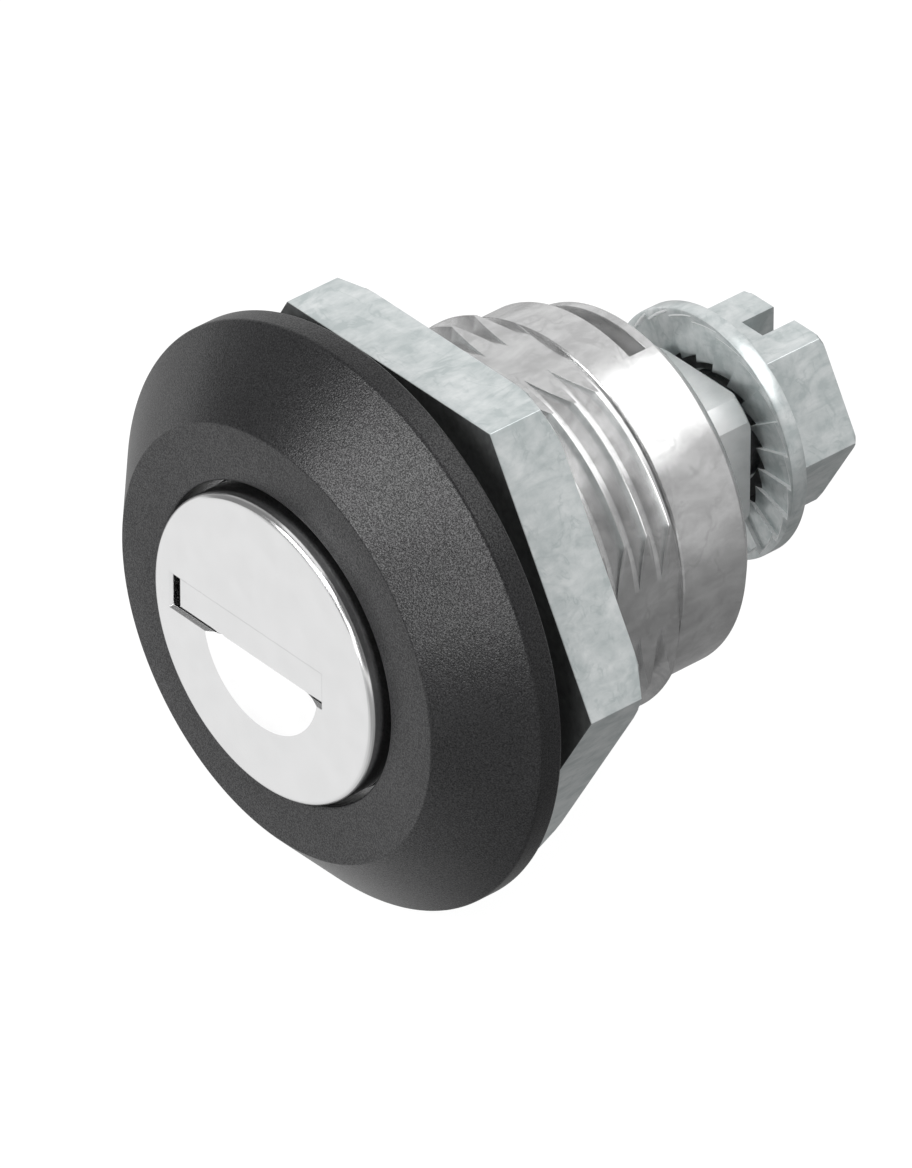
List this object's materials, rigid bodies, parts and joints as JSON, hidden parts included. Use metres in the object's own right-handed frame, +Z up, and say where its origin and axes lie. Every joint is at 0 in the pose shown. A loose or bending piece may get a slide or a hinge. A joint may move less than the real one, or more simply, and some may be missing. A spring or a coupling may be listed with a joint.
{
  "type": "quarter-turn lock",
  "caption": "Panel-mounted quarter-turn lock with a keyed face, flatted threaded shank, hexagon nut, stop window, square spindle and ribbed washer under a slotted hexagon screw.",
  "frame": {"origin": "on the lock's axis in the plane of the gasket's rear face, where the shank enters its panel", "axes": "+Y along the lock's axis towards the cam square and screw, the key face looks towards -Y; +Z up; the key slot lies along X"},
  "size_m": [0.0322, 0.0352, 0.0322],
  "materials": {
    "black_bezel": "fine grained matt",
    "black_rubber": "matt",
    "die_cast": "satin die-cast",
    "bright_face": "satin chrome",
    "zinc_plate": "zinc plated",
    "steel_pin": "ground",
    "spring_steel": "drawn wire",
    "brass_wafer": "stamped"
  },
  "bodies": {
    "housing": {"housing": "die_cast", "bezel": "black_bezel", "gasket": "black_rubber", "hex_nut": "zinc_plate", "retaining_pin": "steel_pin"},
    "rotor": {"face_cap": "bright_face", "lock_plug": "die_cast", "shutter_pin": "steel_pin", "shutter_spring": "spring_steel", "plug_seal": "black_rubber", "wafer_spring_1": "spring_steel", "wafer_spring_2": "spring_steel", "wafer_spring_3": "spring_steel", "wafer_spring_4": "spring_steel", "wafer_spring_5": "spring_steel", "spindle": "die_cast", "spindle_clip": "spring_steel", "spindle_seal": "black_rubber", "ribbed_washer": "zinc_plate", "cam_screw": "zinc_plate"},
    "shutter": {"dust_shutter": "bright_face"},
    "wafer_1": {"wafer_1": "brass_wafer"},
    "wafer_2": {"wafer_2": "brass_wafer"},
    "wafer_3": {"wafer_3": "brass_wafer"},
    "wafer_4": {"wafer_4": "brass_wafer"},
    "wafer_5": {"wafer_5": "brass_wafer"}
  },
  "joints": [
    {"name": "key_turn", "type": "hinge", "parent": "housing", "child": "rotor", "pos_m": [0, 0, 0], "axis": [0, 1, 0], "range_deg": [0, 90]},
    {"name": "shutter_swing", "type": "hinge", "parent": "rotor", "child": "shutter", "pos_m": [0, -0.0053, 0.00198], "axis": [1, 0, 0], "range_deg": [0, 88], "stiffness_Nm_per_rad": 0.0002, "springref_deg": -34.38, "deforming": ["shutter_spring"]},
    {"name": "wafer_1_slide", "type": "slide", "parent": "rotor", "child": "wafer_1", "axis": [1, 0, 0], "range_m": [0, 0.0006], "stiffness_N_per_m": 60, "springref_m": 0.0016, "deforming": ["wafer_spring_1"]},
    {"name": "wafer_2_slide", "type": "slide", "parent": "rotor", "child": "wafer_2", "axis": [1, 0, 0], "range_m": [0, 0.0006], "stiffness_N_per_m": 60, "springref_m": 0.0016, "deforming": ["wafer_spring_2"]},
    {"name": "wafer_3_slide", "type": "slide", "parent": "rotor", "child": "wafer_3", "axis": [1, 0, 0], "range_m": [0, 0.0006], "stiffness_N_per_m": 60, "springref_m": 0.0016, "deforming": ["wafer_spring_3"]},
    {"name": "wafer_4_slide", "type": "slide", "parent": "rotor", "child": "wafer_4", "axis": [1, 0, 0], "range_m": [0, 0.0006], "stiffness_N_per_m": 60, "springref_m": 0.0016, "deforming": ["wafer_spring_4"]},
    {"name": "wafer_5_slide", "type": "slide", "parent": "rotor", "child": "wafer_5", "axis": [1, 0, 0], "range_m": [0, 0.0006], "stiffness_N_per_m": 60, "springref_m": 0.0016, "deforming": ["wafer_spring_5"]}
  ]
}
